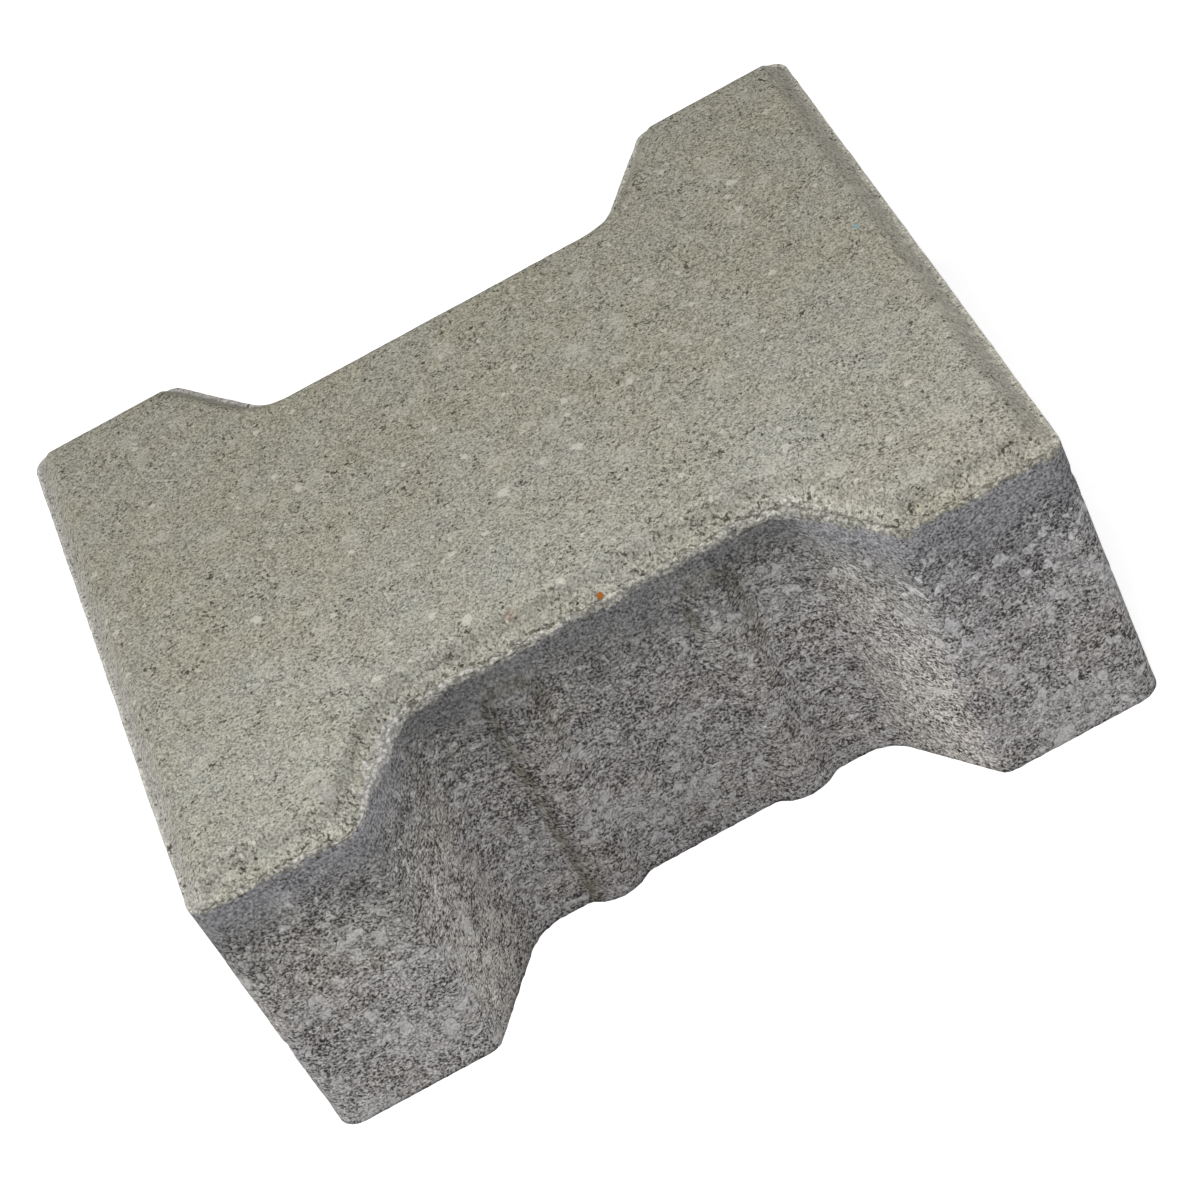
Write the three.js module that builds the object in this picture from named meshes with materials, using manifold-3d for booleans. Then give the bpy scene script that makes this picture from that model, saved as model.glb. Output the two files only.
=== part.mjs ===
/**
 * Interlocking concrete paving stone, double-T plan, pressed in one piece.
 *
 * Millimetres, +Z up. The origin is the centre of the bed face and +X runs along the stone's length.
 * The wide ends are the flanges and the narrow middle is the waist: the flanges of one row of
 * stones fill the recesses beside the waists of the next. The tamper that presses the wearing face
 * leaves a sloping shoulder round it, and concrete squeezed up between tamper and mould wall leaves
 * a low lip along the outer edge.
 */
import * as THREE from "three";
import { mergeVertices } from "three/addons/utils/BufferGeometryUtils.js";
import Module from "manifold-3d";

// Plan
const LENGTH = 197;
const FLANGE_WIDTH = 162;
const WAIST_WIDTH = 112;
const FLANGE_FACE = 37.5;
const WAIST_FACE = 86;
const END_CORNER_RADIUS = 5;
const FLANGE_CORNER_RADIUS = 4;
const WAIST_FILLET_RADIUS = 12;

// Height, and the shoulder and lip round the wearing face
const HEIGHT = 80;
const SHOULDER_DROP = 5;
const SHOULDER_ANGLE = THREE.MathUtils.degToRad(55);
const CROWN_RADIUS = 2;
const COVE_RADIUS = 1.5;
const LIP_WIDTH = 2.2;
const LIP_HEIGHT = 0.8;

// Spacer ribs on both waist faces, which hold the joint to the next row open
const RIB_WIDTH = 14;
const RIB_PROJECTION = 3;
const RIB_STOP_BELOW_TOP = 10;
const RIB_SPACING = 46;

// Fineness of the facets
const ARC_DIVISIONS = 4;
const PROFILE_DIVISIONS = 2;
const RIB_SIDES = 48;
const RIB_DOME_STEPS = 8;

// A rounding takes at most this share of the edge or slope that it eases
const LARGEST_SHARE = 0.45;
const SMALLEST_RADIUS = 0.6;

const RIGHT_ANGLE = Math.PI / 2;
const CONCRETE = { name: "concrete", color: 0xa5a396, roughness: 0.92, metalness: 0 };

/**
 * Corners of the plan outline moved inward by `inset`, anticlockwise from the right end, each with
 * the radius that rounds it. Outer corners lose the inset from their radius and the waist fillets
 * gain it, which keeps the outlines parallel.
 */
function planCorners(inset) {
  const end = LENGTH / 2;
  const flange = FLANGE_WIDTH / 2;
  const waist = WAIST_WIDTH / 2;
  const flangeEdge = end - FLANGE_FACE;
  const waistEdge = WAIST_FACE / 2;

  // Both ends of the slope between waist and flange slide outward as the slope moves inward
  const run = flangeEdge - waistEdge;
  const rise = flange - waist;
  const slide = (inset * (Math.hypot(run, rise) - run)) / rise;

  const outward = [
    { x: end - inset, y: flange - inset, radius: Math.max(END_CORNER_RADIUS - inset, SMALLEST_RADIUS) },
    {
      x: flangeEdge + slide,
      y: flange - inset,
      radius: Math.max(FLANGE_CORNER_RADIUS - inset, SMALLEST_RADIUS),
    },
    { x: waistEdge + slide, y: waist - inset, radius: WAIST_FILLET_RADIUS + inset },
  ];
  const inward = [...outward].reverse();
  const mirrored = (corners, signX, signY) =>
    corners.map(({ x, y, radius }) => ({ x: signX * x, y: signY * y, radius }));
  return [
    ...outward,
    ...mirrored(inward, -1, 1),
    ...mirrored(outward, -1, -1),
    ...mirrored(inward, 1, -1),
  ];
}

/** Adds the arc that rounds `corner` to `outline`, which THREE.Path joins on with a straight edge. */
function addCornerArc(outline, before, corner, after) {
  const arriving = new THREE.Vector2(corner.x - before.x, corner.y - before.y);
  const leaving = new THREE.Vector2(after.x - corner.x, after.y - corner.y);
  const turn = Math.atan2(arriving.cross(leaving), arriving.dot(leaving));
  const side = Math.sign(turn);
  const halfTurn = Math.tan(Math.abs(turn) / 2);
  const room = LARGEST_SHARE * Math.min(arriving.length(), leaving.length());
  const tangent = Math.min(corner.radius * halfTurn, room);
  const radius = tangent / halfTurn;

  const heading = arriving.normalize();
  const centreX = corner.x - tangent * heading.x - side * radius * heading.y;
  const centreY = corner.y - tangent * heading.y + side * radius * heading.x;
  const start = heading.angle() - side * RIGHT_ANGLE;
  outline.absarc(centreX, centreY, radius, start, start + turn, side < 0);
}

/** Points of the plan outline moved inward by `inset`. Their number is the same for every inset. */
function planOutline(inset) {
  const corners = planCorners(inset);
  const outline = new THREE.Path();
  corners.forEach((corner, index) => {
    const before = corners.at(index - 1);
    const after = corners[(index + 1) % corners.length];
    addCornerArc(outline, before, corner, after);
  });
  return outline.getPoints(ARC_DIVISIONS);
}

/**
 * Section through the edge of the wearing face, as points whose x is the distance inward from the
 * wall and whose y is the height: over the lip, up the cove and the straight shoulder, and round
 * the crown to the flat wearing face.
 */
function shoulderSection() {
  const foot = HEIGHT - SHOULDER_DROP;
  const bend = 1 - Math.cos(SHOULDER_ANGLE);
  const largest = (LARGEST_SHARE * SHOULDER_DROP) / bend;
  const cove = Math.min(COVE_RADIUS, largest);
  const crown = Math.min(CROWN_RADIUS, largest);
  const straightRun = (SHOULDER_DROP - (cove + crown) * bend) / Math.tan(SHOULDER_ANGLE);
  const crownCentre = LIP_WIDTH + (cove + crown) * Math.sin(SHOULDER_ANGLE) + straightRun;

  const section = new THREE.Path();
  section.absellipse(LIP_WIDTH / 2, foot, LIP_WIDTH / 2, LIP_HEIGHT, Math.PI, 0, true);
  section.absarc(LIP_WIDTH, foot + cove, cove, -RIGHT_ANGLE, SHOULDER_ANGLE - RIGHT_ANGLE, false);
  section.absarc(crownCentre, HEIGHT - crown, crown, SHOULDER_ANGLE + RIGHT_ANGLE, RIGHT_ANGLE, true);
  return section.getPoints(PROFILE_DIVISIONS);
}

/** Closed body through `rings`, lists of as many points each, bottom one first, with flat ends. */
function loft(rings) {
  const count = rings[0].points.length;
  const position = rings.flatMap(({ points, height }) => points.flatMap(({ x, y }) => [x, y, height]));
  const index = [];
  for (let ring = 0; ring < rings.length - 1; ring += 1) {
    for (let point = 0; point < count; point += 1) {
      const next = (point + 1) % count;
      const lower = ring * count;
      const upper = lower + count;
      index.push(lower + point, lower + next, upper + next);
      index.push(lower + point, upper + next, upper + point);
    }
  }
  const top = (rings.length - 1) * count;
  for (const [a, b, c] of THREE.ShapeUtils.triangulateShape(rings[0].points, [])) {
    index.push(c, b, a);
  }
  for (const [a, b, c] of THREE.ShapeUtils.triangulateShape(rings.at(-1).points, [])) {
    index.push(top + a, top + b, top + c);
  }
  const geometry = new THREE.BufferGeometry();
  geometry.setAttribute("position", new THREE.Float32BufferAttribute(position, 3));
  geometry.setIndex(index);
  return geometry;
}

/** The stone without its ribs: the plan outline carried up the walls and over the shoulder. */
function stoneBody() {
  const bed = { points: planOutline(0), height: 0 };
  const edge = shoulderSection().map(({ x, y }) => ({ points: planOutline(x), height: y }));
  return loft([bed, ...edge]);
}

/**
 * One spacer rib: an upright round bar with a domed top, sunk so deep into the waist face that
 * only a segment RIB_WIDTH wide and RIB_PROJECTION proud stands out of it.
 */
function spacerRib(x, side) {
  const halfWidth = RIB_WIDTH / 2;
  const radius = (halfWidth ** 2 + RIB_PROJECTION ** 2) / (2 * RIB_PROJECTION);
  const domeCentre = HEIGHT - RIB_STOP_BELOW_TOP - halfWidth;
  const axisY = side * (WAIST_WIDTH / 2 + RIB_PROJECTION - radius);

  const profile = [new THREE.Vector2(0, 0), new THREE.Vector2(radius, 0)];
  for (let step = 0; step < RIB_DOME_STEPS; step += 1) {
    const angle = (RIGHT_ANGLE * step) / RIB_DOME_STEPS;
    profile.push(new THREE.Vector2(radius * Math.cos(angle), domeCentre + radius * Math.sin(angle)));
  }
  profile.push(new THREE.Vector2(0, domeCentre + radius));
  const rib = new THREE.LatheGeometry(profile, RIB_SIDES);
  rib.rotateX(RIGHT_ANGLE);
  rib.translate(x, axisY, 0);
  return rib;
}

/** Closed three.js geometry as a manifold solid, its shared vertices merged. */
function toSolid(wasm, geometry) {
  const bare = new THREE.BufferGeometry();
  bare.setAttribute("position", geometry.getAttribute("position"));
  bare.setIndex(geometry.getIndex());
  const merged = mergeVertices(bare);
  const corners = merged.getIndex().array;
  const triangles = [];
  for (let at = 0; at < corners.length; at += 3) {
    const [a, b, c] = corners.slice(at, at + 3);
    if (a !== b && b !== c && c !== a) {
      triangles.push(a, b, c);
    }
  }
  const mesh = new wasm.Mesh({
    numProp: 3,
    vertProperties: new Float32Array(merged.getAttribute("position").array),
    triVerts: new Uint32Array(triangles),
  });
  return new wasm.Manifold(mesh);
}

/** Manifold solid as a three.js geometry. */
function toGeometry(solid) {
  const { vertProperties, triVerts } = solid.getMesh();
  const geometry = new THREE.BufferGeometry();
  geometry.setAttribute("position", new THREE.BufferAttribute(vertProperties, 3));
  geometry.setIndex(new THREE.BufferAttribute(triVerts, 1));
  geometry.computeVertexNormals();
  return geometry;
}

/** The whole stone: the body with two ribs pressed onto each waist face. */
async function pavingStone() {
  const wasm = await Module();
  wasm.setup();
  let stone = toSolid(wasm, stoneBody());
  for (const side of [-1, 1]) {
    for (const x of [-RIB_SPACING / 2, RIB_SPACING / 2]) {
      stone = stone.add(toSolid(wasm, spacerRib(x, side)));
    }
  }
  const mesh = new THREE.Mesh(toGeometry(stone), new THREE.MeshStandardMaterial(CONCRETE));
  mesh.name = "paving_stone";
  return mesh;
}

const object = new THREE.Group();
object.add(await pavingStone());

export default object;
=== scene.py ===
"""Looks of a double-T concrete paving stone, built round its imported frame.

The stone is one closed skin. A section runs from the bed up the wall, over the crumbly lip and up
the pressed shoulder, and is carried round the plan outline. A grid closes the wearing face and a
coarser one the bed. Noise then roughens the skin as pressed concrete is: fine and sandy on the
wearing face, open and pitted on the walls, broken along the lip.

The stone's lengths are in millimetres until they reach a mesh or a node, and the studio's are in
metres.
"""

from __future__ import annotations

import logging
import math
from dataclasses import dataclass, field
from enum import Enum

import bpy
import numpy as np
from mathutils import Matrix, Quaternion, Vector

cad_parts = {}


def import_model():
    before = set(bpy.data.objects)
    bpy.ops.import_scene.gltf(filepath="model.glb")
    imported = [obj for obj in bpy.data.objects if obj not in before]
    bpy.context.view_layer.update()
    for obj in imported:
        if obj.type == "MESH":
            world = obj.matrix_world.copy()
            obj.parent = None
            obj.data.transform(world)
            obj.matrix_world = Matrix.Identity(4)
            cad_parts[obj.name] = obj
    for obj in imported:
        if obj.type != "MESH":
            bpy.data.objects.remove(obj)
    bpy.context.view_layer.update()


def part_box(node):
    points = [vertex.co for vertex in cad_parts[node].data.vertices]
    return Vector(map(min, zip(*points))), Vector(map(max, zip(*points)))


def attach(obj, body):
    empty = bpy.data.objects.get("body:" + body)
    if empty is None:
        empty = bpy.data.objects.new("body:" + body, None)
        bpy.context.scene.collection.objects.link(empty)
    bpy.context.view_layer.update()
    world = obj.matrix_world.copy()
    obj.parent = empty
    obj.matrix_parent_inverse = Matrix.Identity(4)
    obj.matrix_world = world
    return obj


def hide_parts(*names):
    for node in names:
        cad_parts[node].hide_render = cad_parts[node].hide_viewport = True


MM = 0.001
NODE = "paving_stone"
BODY = "root"

# Odd factors for the coordinates and the seed of a cell's hash, and the shift and factor of each
# of the steps that stir it, as 32-bit words.
CELL_FACTORS = (0x8DA6B343, 0xD8163841, 0xCB1AB31F)
SEED_FACTOR = 0x9E3779B1
STIRS = ((15, 0x2C1B3C6D), (12, 0x297A2D39), (15, 1))
WORD = 2**32

# A point is on the bed where it is lower than this, in millimetres, and its normal is this far
# from level.
BED_HEIGHT = 0.01
BED_FACING = 0.9

# Layout of the nodes in the editor.
NODES_PER_ROW = 8
NODE_STEP = (220.0, -260.0)

Pair = tuple[float, float]
Triple = tuple[float, float, float]
Colour = tuple[float, float, float, float]

log = logging.getLogger("paving_stone")


def linked(data: bpy.types.ID) -> bpy.types.Object:
    """Makes an object with the name of its data.

    Args:
        data: Its mesh, camera or light.

    Returns:
        The object, linked to the scene.
    """
    made = bpy.data.objects.new(data.name, data)
    bpy.context.scene.collection.objects.link(made)
    return made


# --- Noise on whole arrays of points --------------------------------------------------------------


def hashed(cells: np.ndarray, seed: int) -> np.ndarray:
    """Repeatable random number for each lattice cell.

    The three whole coordinates and the seed are multiplied by large odd numbers and joined by
    exclusive or, and the result is stirred by shifts and products.

    Args:
        cells: Whole coordinates, shape (..., 3).
        seed: Picks one of many unrelated patterns.

    Returns:
        Numbers from 0 to 1, shape (...).
    """
    whole = cells.astype(np.int64).astype(np.uint32)
    mixed = np.full(cells.shape[:-1], seed * SEED_FACTOR % WORD, dtype=np.uint32)
    for axis, factor in enumerate(CELL_FACTORS):
        mixed ^= whole[..., axis] * np.uint32(factor)
    for shift, factor in STIRS:
        mixed ^= mixed >> np.uint32(shift)
        mixed *= np.uint32(factor)
    return mixed.astype(np.float64) / WORD


def smooth_noise(points: np.ndarray, size: float, seed: int) -> np.ndarray:
    """Smooth random field with one random value per lattice corner.

    Each point takes the eight values round its cell, weighted by the cubic ease 3t^2 - 2t^3 along
    each axis.

    Args:
        points: Positions, shape (n, 3), in millimetres.
        size: Lattice spacing in millimetres.
        seed: Picks the pattern.

    Returns:
        Values from -1 to 1, shape (n,).
    """
    scaled = points / size
    base = np.floor(scaled)
    part = scaled - base
    ease = part * part * (3.0 - 2.0 * part)
    total = np.zeros(len(points))
    for corner in np.ndindex(2, 2, 2):
        chosen = np.array(corner)
        weight = np.prod(np.where(chosen == 1, ease, 1.0 - ease), axis=1)
        total += weight * hashed(base + chosen, seed)
    return 2.0 * total - 1.0


def cell_noise(points: np.ndarray, size: float, seed: int) -> tuple[np.ndarray, np.ndarray]:
    """Distance from each point to the nearest of many scattered seeds, and that seed's number.

    One seed lies at a random place in each cell of a cubic lattice, and the 27 cells round each
    point are searched.

    Args:
        points: Positions, shape (n, 3), in millimetres.
        size: Lattice spacing in millimetres.
        seed: Picks the pattern.

    Returns:
        The distance as a share of the spacing, and a random number from 0 to 1 for the seed.
    """
    scaled = points / size
    base = np.floor(scaled)
    nearest = np.full(len(points), np.inf)
    number = np.zeros(len(points))
    for step in np.ndindex(3, 3, 3):
        cell = base + (np.array(step) - 1)
        place = np.stack([hashed(cell, seed + axis) for axis in range(3)], axis=1)
        distance = np.linalg.norm(cell + place - scaled, axis=1)
        closer = distance < nearest
        nearest = np.where(closer, distance, nearest)
        number = np.where(closer, hashed(cell, seed + 3), number)
    return nearest, number


def ramp(values: np.ndarray, low: float, high: float) -> np.ndarray:
    """Eased step: 0 at or past `low`, 1 at or past `high`, 3t^2 - 2t^3 between."""
    part = np.clip((values - low) / (high - low), 0.0, 1.0)
    return part * part * (3.0 - 2.0 * part)


def at_least(least: float, share: np.ndarray) -> np.ndarray:
    """Share from 0 to 1, squeezed into the range from `least` to 1."""
    return least + (1.0 - least) * share


# --- Shape ----------------------------------------------------------------------------------------


def arc(centre: np.ndarray | list[float], radius: float, angles: np.ndarray) -> np.ndarray:
    """Points of a circular arc: centre plus radius times the cosine and sine of each angle."""
    return np.asarray(centre) + radius * np.stack([np.cos(angles), np.sin(angles)], axis=1)


@dataclass
class PlanOutline:
    """Double-T outline of the stone, with wide flanges at both ends and a narrow waist.

    The overall length and width come from the frame. Counts are steps along each stretch of a
    quarter of the outline, from the middle of a waist face to the middle of an end face.
    """

    length: float
    flange_width: float
    waist_width: float = 112.0
    flange_face: float = 37.5
    waist_face: float = 86.0
    end_corner_radius: float = 5.0
    flange_corner_radius: float = 4.0
    waist_fillet_radius: float = 12.0
    smallest_radius: float = 0.6
    waist_steps: int = 32
    fillet_steps: int = 11
    slope_steps: int = 20
    flange_corner_steps: int = 4
    flange_steps: int = 26
    end_corner_steps: int = 5
    end_steps: int = 128

    def corners(self, inset: float) -> tuple[np.ndarray, list[float]]:
        """Sharp corners of a quarter outline and the radii that round them.

        Args:
            inset: Distance that the outline is moved inward.

        Returns:
            Corner points at the waist, the flange and the end, shape (3, 2), and three radii.
        """
        end = self.length / 2
        flange = self.flange_width / 2
        waist = self.waist_width / 2
        flange_edge = end - self.flange_face
        waist_edge = self.waist_face / 2
        run = flange_edge - waist_edge
        rise = flange - waist
        slide = inset * (math.hypot(run, rise) - run) / rise
        points = np.array(
            [
                [waist_edge + slide, waist - inset],
                [flange_edge + slide, flange - inset],
                [end - inset, flange - inset],
            ]
        )
        radii = [
            self.waist_fillet_radius + inset,
            max(self.flange_corner_radius - inset, self.smallest_radius),
            max(self.end_corner_radius - inset, self.smallest_radius),
        ]
        return points, radii

    def quarter(self, inset: float, fineness: int) -> np.ndarray:
        """Points from the middle of a waist face to the end of the rounded end corner.

        Straight stretches are evenly divided, and each corner is a circular arc tangent to both
        of its sides: centre plus radius times the cosine and sine of an evenly divided angle.

        Args:
            inset: Distance that the outline is moved inward.
            fineness: Multiplies the number of steps.

        Returns:
            Points in the quarter where x and y are positive, shape (n, 2).
        """
        sharp, radii = self.corners(inset)
        path = np.vstack([[0.0, sharp[0, 1]], sharp, [sharp[2, 0], 0.0]])
        straight_steps = [self.waist_steps, self.slope_steps, self.flange_steps]
        arc_steps = [self.fillet_steps, self.flange_corner_steps, self.end_corner_steps]
        last = path[0]
        stretches = [path[:1]]
        for index, radius in enumerate(radii):
            before, corner, after = path[index : index + 3]
            arriving = (corner - before) / np.linalg.norm(corner - before)
            leaving = (after - corner) / np.linalg.norm(after - corner)
            cross = arriving[0] * leaving[1] - arriving[1] * leaving[0]
            turn = math.atan2(cross, float(arriving @ leaving))
            side = math.copysign(1.0, turn)
            tangent = radius * math.tan(abs(turn) / 2)
            start = corner - tangent * arriving
            centre = start + side * radius * np.array([-arriving[1], arriving[0]])
            first_angle = math.atan2(*(start - centre)[::-1])

            share = np.linspace(0.0, 1.0, fineness * straight_steps[index] + 1)[1:, None]
            stretches.append(last + share * (start - last))
            share = np.linspace(0.0, 1.0, fineness * arc_steps[index] + 1)[1:]
            stretches.append(arc(centre, radius, first_angle + turn * share))
            last = stretches[-1][-1]
        return np.vstack(stretches)

    def long_side(self, inset: float, fineness: int) -> np.ndarray:
        """Points of the side where y is positive, from the left end corner to the right one."""
        right = self.quarter(inset, fineness)
        return np.vstack([right[:0:-1] * [-1.0, 1.0], right])

    def ring(self, inset: float, fineness: int = 1) -> np.ndarray:
        """Whole outline, anticlockwise from the left end of the side where y is negative.

        Args:
            inset: Distance that the outline is moved inward.
            fineness: Multiplies the number of steps.

        Returns:
            Points, shape (n, 2).
        """
        back = self.long_side(inset, fineness)
        front = back * [1.0, -1.0]
        share = np.linspace(-1.0, 1.0, fineness * self.end_steps + 1)[1:-1]
        right = np.stack([np.full_like(share, back[-1, 0]), share * back[-1, 1]], axis=1)
        return np.vstack([front, right, back[::-1], -right])

    def grid(self, inset: float, stride: int = 1) -> tuple[np.ndarray, np.ndarray]:
        """Points across the whole outline, in columns that run from side to side.

        A column stands at each point of the long side, and its rows lie at even shares of that
        point's distance from the middle line, so the last row follows the outline.

        Args:
            inset: Distance that the outline is moved inward.
            stride: Keeps one in this many columns and rows.

        Returns:
            Points, shape (columns, rows, 2), and the grid's own rim in the order of `ring`, as
            flat positions in the grid.
        """
        side = self.long_side(inset, 1)[::stride]
        share = np.linspace(-1.0, 1.0, self.end_steps // stride + 1)
        x = np.repeat(side[:, :1], len(share), axis=1)
        y = side[:, 1:] * share
        flat = np.arange(x.size).reshape(x.shape)
        rim = np.concatenate([flat[:, 0], flat[-1, 1:-1], flat[::-1, -1], flat[0, -2:0:-1]])
        return np.stack([x, y], axis=2), rim


@dataclass
class EdgeSection:
    """Section through the stone's side, as distances inward from the wall and heights.

    `fine_depth` is how far below the lip the fine rows start, and `crowding` how much closer the
    coarse rows below them lie at the top of the wall.
    """

    height: float
    shoulder_drop: float = 5.0
    shoulder_angle: float = math.radians(55.0)
    crown_radius: float = 4.0
    cove_radius: float = 1.5
    lip_width: float = 2.2
    lip_height: float = 0.8
    lip_rise: float = 0.0
    fine_depth: float = 3.0
    crowding: float = 0.18
    wall_steps: int = 74
    fine_wall_steps: int = 4
    lip_steps: int = 7
    cove_steps: int = 2
    slope_steps: int = 5
    crown_steps: int = 5

    @property
    def foot(self) -> float:
        """Height of the lip's base, where the shoulder starts."""
        return self.height - self.shoulder_drop

    def wall(self) -> np.ndarray:
        """Coarse rows from the bed up to `fine_depth` below the lip, closer together at the top.

        Returns:
            Rows as (inset, height), shape (n, 2).
        """
        share = np.linspace(0.0, 1.0, self.wall_steps + 1)
        height = (share + self.crowding * np.sin(math.pi * share)) * (self.foot - self.fine_depth)
        return np.stack([np.zeros_like(height), height], axis=1)

    def edge(self) -> np.ndarray:
        """Fine rows up the last of the wall, over the lip and up the shoulder to its crown.

        The lip is half an ellipse on a chord that climbs inward by `lip_rise`, the cove and crown
        are circular arcs tangent to the straight slope between them.

        Returns:
            Rows as (inset, height), shape (n, 2).
        """
        bend = 1.0 - math.cos(self.shoulder_angle)
        radii = self.cove_radius + self.crown_radius
        base = self.foot + self.lip_rise
        run = (self.height - base - radii * bend) / math.tan(self.shoulder_angle)
        crown_start = self.lip_width + radii * math.sin(self.shoulder_angle) + run

        share = np.linspace(0.0, 1.0, self.fine_wall_steps + 1)[1:]
        heights = self.foot - self.fine_depth * (1.0 - share)
        wall = np.stack([np.zeros_like(heights), heights], axis=1)

        lip = arc([1.0, 0.0], 1.0, math.pi * np.linspace(1.0, 0.0, self.lip_steps + 1)[1:])
        lip = lip @ [[self.lip_width / 2, self.lip_rise / 2], [0.0, self.lip_height]]
        lip += [0.0, self.foot]

        upright = math.pi / 2
        turn = self.shoulder_angle * np.linspace(0.0, 1.0, self.cove_steps + 1)[1:]
        cove_centre = [self.lip_width, base + self.cove_radius]
        cove = arc(cove_centre, self.cove_radius, turn - upright)
        turn = self.shoulder_angle * np.linspace(1.0, 0.0, self.crown_steps + 1)
        crown_centre = [crown_start, self.height - self.crown_radius]
        crown = arc(crown_centre, self.crown_radius, turn + upright)
        share = np.linspace(0.0, 1.0, self.slope_steps + 1)[1:-1, None]
        slope = cove[-1] + share * (crown[0] - cove[-1])
        return np.vstack([wall, lip, cove, slope, crown])


@dataclass
class SpacerRibs:
    """Ribs on the waist faces: segments of upright round bars with domed tops."""

    width: float = 14.0
    projection: float = 3.0
    stop_below_top: float = 10.0
    spacing: float = 46.0
    softness: float = 0.4

    def proud(self, points: np.ndarray, height: float) -> np.ndarray:
        """How far each rib stands out of a waist face at given places.

        A rib is a bar of the radius that gives its width and projection. It stands out by the
        root of (radius squared, less the squared distance from its axis line or dome centre),
        less the axis's depth, and a soft maximum with 0 blends it into the wall.

        Args:
            points: Positions, shape (n, 3).
            height: The stone's whole height.

        Returns:
            Distances out of the wall, shape (n,).
        """
        half = self.width / 2
        radius = (half**2 + self.projection**2) / (2 * self.projection)
        dome = height - self.stop_below_top - half
        above = np.maximum(points[:, 2] - dome, 0.0)
        total = np.zeros(len(points))
        for centre in (-self.spacing / 2, self.spacing / 2):
            squared = (points[:, 0] - centre) ** 2 + above**2
            rise = np.sqrt(np.maximum(radius**2 - squared, 0.0)) - (radius - self.projection)
            total += self.softness * np.logaddexp(0.0, rise / self.softness)
        return total


@dataclass
class Skin:
    """Points and triangles of the stone's closed skin, while it is being made.

    Each point also keeps its place: its distance along the section from the lip's outer edge,
    positive inward.
    """

    points: list[np.ndarray] = field(default_factory=list)
    triangles: list[np.ndarray] = field(default_factory=list)
    places: list[np.ndarray] = field(default_factory=list)
    count: int = 0

    def add(self, plan: np.ndarray, height: float | np.ndarray, place: float) -> np.ndarray:
        """Adds points at one place of the section.

        Args:
            plan: Plan positions, shape (..., 2).
            height: Their height, one for all or one each.
            place: Distance along the section from the lip's outer edge, positive inward.

        Returns:
            The new points' numbers, shaped as `plan` without its last axis.
        """
        flat = plan.reshape(-1, 2)
        self.points.append(np.column_stack([flat, np.broadcast_to(height, len(flat))]))
        self.places.append(np.full(len(flat), place))
        numbers = self.count + np.arange(len(flat))
        self.count += len(flat)
        return numbers.reshape(plan.shape[:-1])

    def band(self, lower: np.ndarray, upper: np.ndarray) -> None:
        """Joins two rings with triangles, facing outward where the rings are anticlockwise.

        One ring may have a whole number of times as many points as the other, and its points then
        face every few of them. The first half of the fine edges between two coarse points fans to
        the first of them, the second half to the second, and one triangle closes the gap.

        Args:
            lower: Point numbers of the lower or outer ring.
            upper: Point numbers of the upper or inner ring.
        """
        fine, coarse = (lower, upper) if len(lower) >= len(upper) else (upper, lower)
        ratio = len(fine) // len(coarse)
        starts = np.arange(len(coarse)) * ratio
        fine_next = np.roll(fine, -1)
        coarse_next = np.roll(coarse, -1)
        made = [np.stack([coarse, fine[starts + ratio // 2], coarse_next], axis=1)]
        for step in range(ratio):
            hub = coarse if step < ratio // 2 else coarse_next
            edge = starts + step
            made.append(np.stack([fine[edge], fine_next[edge], hub], axis=1))
        faces = np.vstack(made)
        self.triangles.append(faces if fine is lower else faces[:, ::-1])

    def sheet(self, numbers: np.ndarray, facing_up: bool) -> None:
        """Joins a grid of points with triangles.

        Args:
            numbers: Point numbers, shape (columns, rows).
            facing_up: True where the sheet faces up, False where it faces down.
        """
        corner = numbers[:-1, :-1].ravel()
        right = numbers[1:, :-1].ravel()
        opposite = numbers[1:, 1:].ravel()
        back = numbers[:-1, 1:].ravel()
        near = np.stack([corner, right, opposite], axis=1)
        far = np.stack([corner, opposite, back], axis=1)
        faces = np.vstack([near, far])
        self.triangles.append(faces if facing_up else faces[:, ::-1])

    def arrays(self) -> tuple[np.ndarray, np.ndarray, np.ndarray]:
        """All points, triangles and places, as whole arrays."""
        return np.vstack(self.points), np.vstack(self.triangles), np.concatenate(self.places)


def point_normals(points: np.ndarray, triangles: np.ndarray) -> np.ndarray:
    """Outward normal at each point: the sum of its triangles' area normals, made one long.

    Args:
        points: Positions, shape (n, 3).
        triangles: Point numbers, shape (m, 3).

    Returns:
        Normals, shape (n, 3).
    """
    first, second, third = (points[triangles[:, corner]] for corner in range(3))
    area = np.cross(second - first, third - first)
    total = np.zeros_like(points)
    for corner in range(3):
        for axis in range(3):
            total[:, axis] += np.bincount(
                triangles[:, corner], weights=area[:, axis], minlength=len(points)
            )
    return total / np.linalg.norm(total, axis=1, keepdims=True)


@dataclass(frozen=True)
class Layer:
    """Fractal noise of the relief: smooth noises, each half as large and strong as the one before.

    Strength and size are in millimetres. `sink` is the share of the strength by which the noise
    is moved inward, so that the stone stays inside its mould. `squeeze` is how many times
    narrower the features are along each axis.
    """

    strength: float
    size: float
    seed: int
    sink: float = 0.0
    octaves: int = 3
    squeeze: Triple = (1.0, 1.0, 1.0)

    def at(self, points: np.ndarray) -> np.ndarray:
        """Sums the smooth noises and divides by the sum of their shares.

        Args:
            points: Positions, shape (n, 3), in millimetres.

        Returns:
            Heights, shape (n,), in millimetres.
        """
        total = np.zeros(len(points))
        reach = 0.0
        for octave in range(self.octaves):
            share = 0.5**octave
            noise = smooth_noise(points * self.squeeze, self.size * share, self.seed + octave)
            total += share * noise
            reach += share
        return self.strength * (total / reach - self.sink)


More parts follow.
